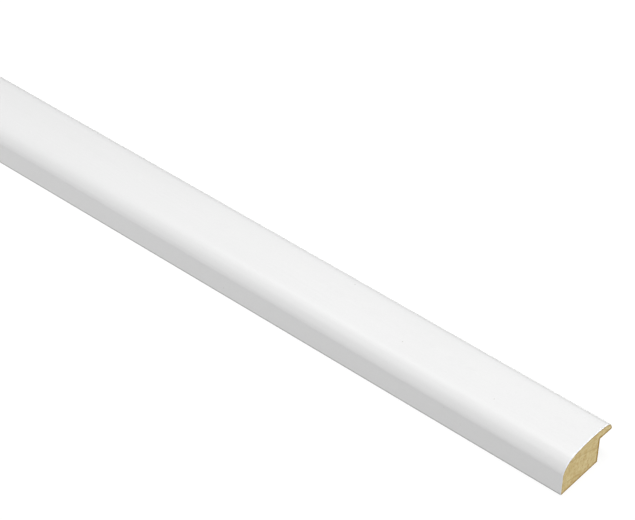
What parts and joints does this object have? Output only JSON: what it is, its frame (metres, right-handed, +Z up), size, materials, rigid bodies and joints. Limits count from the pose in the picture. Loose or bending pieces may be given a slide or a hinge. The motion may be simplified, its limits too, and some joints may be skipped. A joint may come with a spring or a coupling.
{
  "type": "picture frame moulding",
  "caption": "Straight stick of picture frame moulding: domed white face with a round outer shoulder over bare timber, rebated under its lip to hold glass, picture and backing.",
  "frame": {"origin": "middle of the overall box, on the plane of the flat base", "axes": "+X along the stick, +Y across it towards the lip and sight edge, +Z up out of the domed face"},
  "size_m": [0.28, 0.025, 0.0137],
  "materials": {
    "bare_timber": "matte",
    "white_paint": "satin"
  },
  "bodies": {
    "root": {"timber_moulding": "bare_timber", "white_coat": "white_paint"}
  },
  "joints": []
}
